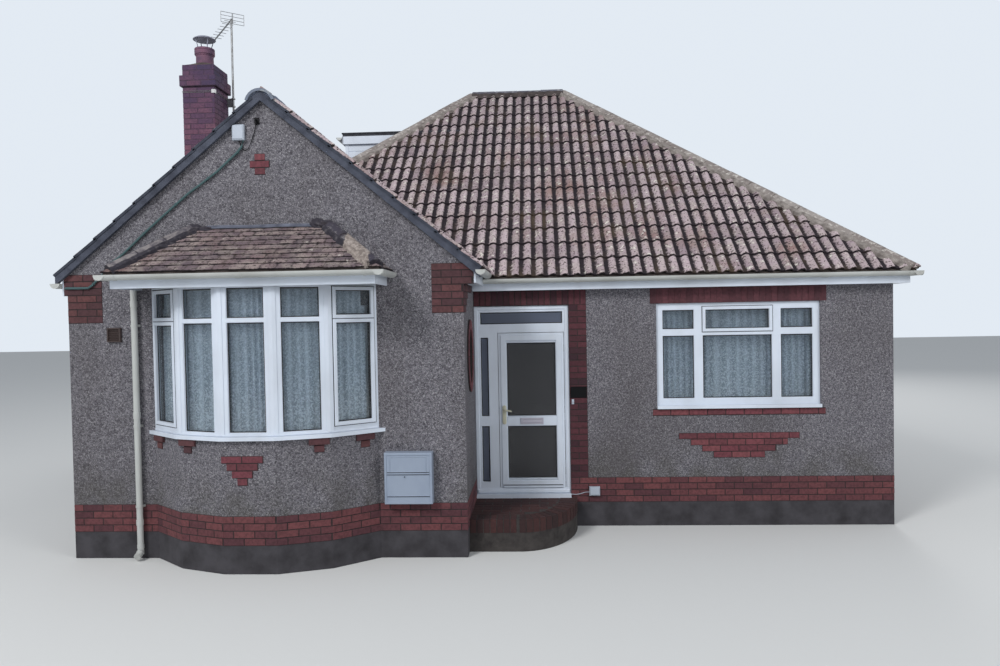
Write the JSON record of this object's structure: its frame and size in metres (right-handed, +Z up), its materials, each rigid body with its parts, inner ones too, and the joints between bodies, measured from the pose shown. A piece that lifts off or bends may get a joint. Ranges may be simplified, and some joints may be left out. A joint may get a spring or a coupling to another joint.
{
  "type": "bungalow",
  "caption": "Hipped-roof bungalow with a gabled bay-window wing, pebbledashed walls over a brick band, and a glazed front door and meter box that open.",
  "frame": {"origin": "at the ground, where the wing's return wall meets the main front wall", "axes": "+X to the right along the front, +Y into the house, +Z up"},
  "size_m": [10.108, 9.9819, 7.408],
  "materials": {
    "pebbledash": "rough",
    "grey_render": "rough",
    "brick": "matte",
    "step_brick": "matte",
    "floor_concrete": "matte",
    "plaster": "matte",
    "sooty_brick": "matte",
    "clay": "matte",
    "galvanised_steel": "satin",
    "roof_tile": "rough",
    "plain_tile": "rough",
    "white_plastic": "satin",
    "glass": "polished",
    "cream_metal": "satin",
    "roof_felt": "matte"
  },
  "bodies": {
    "house": {"plinth": "grey_render", "brick_band": "brick", "front_wall": "pebbledash", "door_pier": "brick", "door_lintel": "brick", "gable_wall": "pebbledash", "return_wall": "pebbledash", "left_wall": "pebbledash", "rear_wall": "pebbledash", "right_wall": "pebbledash", "floor_slab": "floor_concrete", "ceiling": "plaster", "chimney": "sooty_brick", "chimney_pot": "clay", "aerial": "galvanised_steel", "roof_front": "roof_tile", "roof_left": "roof_tile", "roof_main_left": "roof_tile", "roof_jog": "roof_tile", "roof_right": "roof_tile", "roof_rear": "roof_tile", "roof_wing": "roof_tile", "ridge_tiles": "roof_tile", "wing_ridge_tiles": "roof_tile", "fascias": "white_plastic", "gutters": "white_plastic", "downpipes": "white_plastic", "bay_base": "pebbledash", "bay_sill": "white_plastic", "bay_frame": "white_plastic", "bay_glass": "glass", "bay_roof": "plain_tile", "bay_hip_tiles": "plain_tile", "bay_fascia": "white_plastic", "bay_gutter": "white_plastic", "window_frames": "white_plastic", "window_glass": "glass", "window_sills": "white_plastic", "oval_surround": "brick", "door_frame": "white_plastic", "door_sidelights": "glass", "dormer_walls": "white_plastic", "dormer_roof": "roof_felt", "meter_box": "white_plastic", "door_step": "step_brick"},
    "front_door": {"door_leaf": "white_plastic", "door_glass": "glass", "door_handle": "cream_metal", "hinge_leaves": "galvanised_steel"},
    "meter_door": {"meter_lid": "white_plastic"}
  },
  "joints": [
    {"name": "front_door_hinge", "type": "hinge", "parent": "house", "child": "front_door", "pos_m": [1.127, 0.108, 0], "axis": [0, 0, -1], "range_deg": [0, 90]},
    {"name": "meter_door_hinge", "type": "hinge", "parent": "house", "child": "meter_door", "pos_m": [-0.893, -1.35, 0.622], "axis": [0, 0, -1], "range_deg": [0, 110]}
  ]
}
